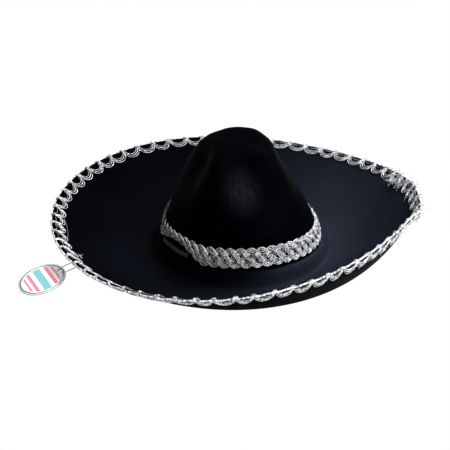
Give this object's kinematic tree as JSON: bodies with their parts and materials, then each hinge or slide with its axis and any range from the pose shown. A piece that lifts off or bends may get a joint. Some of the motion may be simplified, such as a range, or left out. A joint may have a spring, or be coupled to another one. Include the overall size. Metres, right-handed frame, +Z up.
{
  "type": "sombrero",
  "caption": "Wide-brimmed felt sombrero with a dented crown, an upturned brim edged in looped metallic braid, a plaited hatband and a round hang tag.",
  "frame": {"origin": "centre of the head opening, in the plane the brim rests on", "axes": "+Z up out of the crown's top, -Y the front of the hat, +X the wearer's left"},
  "size_m": [0.4765, 0.4501, 0.1365],
  "materials": {
    "felt": "matt napped polyester felt, black with a blue cast",
    "silver_braid": "bright silver metallised cord over dark felt",
    "wire": "drawn steel wire",
    "ferrule": "crimped sleeve",
    "tape": "black woven tape",
    "thread": "black sewing thread",
    "clear_plastic": "translucent nylon",
    "card_front": null,
    "card_back": "uncoated card"
  },
  "bodies": {
    "hat": {"crown": "felt", "brim": "felt", "brim_wire": "wire", "wire_ferrule": "ferrule", "rim_braid_header": "silver_braid", "rim_scallops_inner": "silver_braid", "rim_scallops_outer": "silver_braid", "rim_braid_lap": "silver_braid", "rim_braid_fray": "silver_braid", "hatband": "silver_braid", "hatband_lap": "silver_braid", "sweatband": "tape", "sweatband_stitches": "thread", "seam_stitches": "thread", "tag_pin": "clear_plastic"},
    "tag_link": {"tag_loop": "clear_plastic"},
    "tag": {"tag_front_leaf": "card_front", "tag_back_leaf": "card_back"}
  },
  "joints": [
    {"name": "tag_swing", "type": "hinge", "parent": "hat", "child": "tag_link", "pos_m": [-0.19717, -0.03477, 0.01873], "axis": [-0.1736, 0.9848, 0], "range_deg": [-73, 30]},
    {"name": "tag_turn", "type": "hinge", "parent": "tag_link", "child": "tag", "pos_m": [-0.21673, -0.03822, 0.01366], "axis": [-0.2432, -0.0429, 0.969], "range_deg": [-20, 20]}
  ]
}
